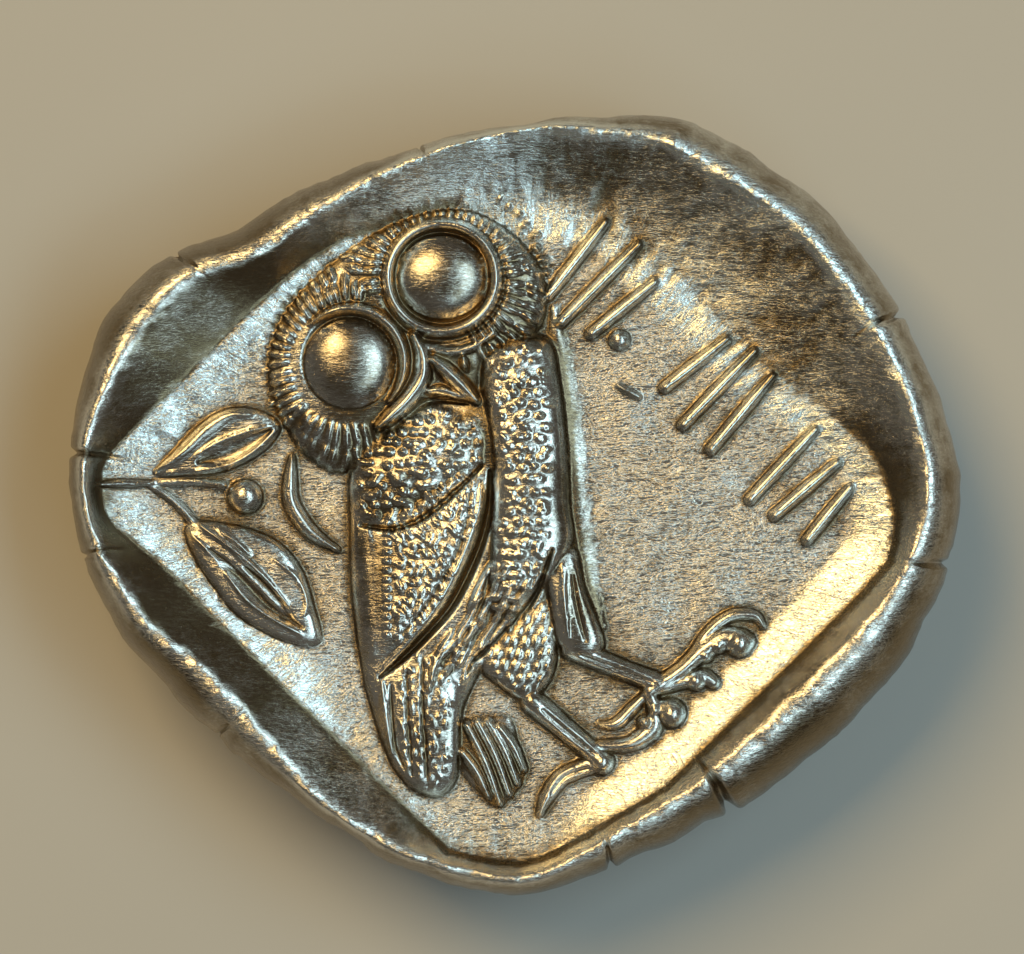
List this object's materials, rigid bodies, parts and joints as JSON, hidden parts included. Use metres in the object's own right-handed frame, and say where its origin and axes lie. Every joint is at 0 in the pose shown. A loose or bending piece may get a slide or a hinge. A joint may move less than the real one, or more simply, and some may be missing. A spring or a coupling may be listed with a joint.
{
  "type": "tetradrachm coin",
  "caption": "Struck silver tetradrachm with an owl, an olive spray and a crescent in a sunken square on one side and a helmeted head on the other.",
  "frame": {"origin": "under the middle of the flan's outline, on the plane that the coin lies on (the worn top of the head side)", "axes": "+Z through the thickness, out of the owl side; +X along the flan's long way, towards the owl's front; +Y towards the top of the owl's head"},
  "size_m": [0.0254, 0.0222, 0.006],
  "materials": {
    "silver": "worn struck silver, bright on the high points and toned brown-grey in the hollows"
  },
  "bodies": {
    "root": {"coin": "silver"}
  },
  "joints": []
}
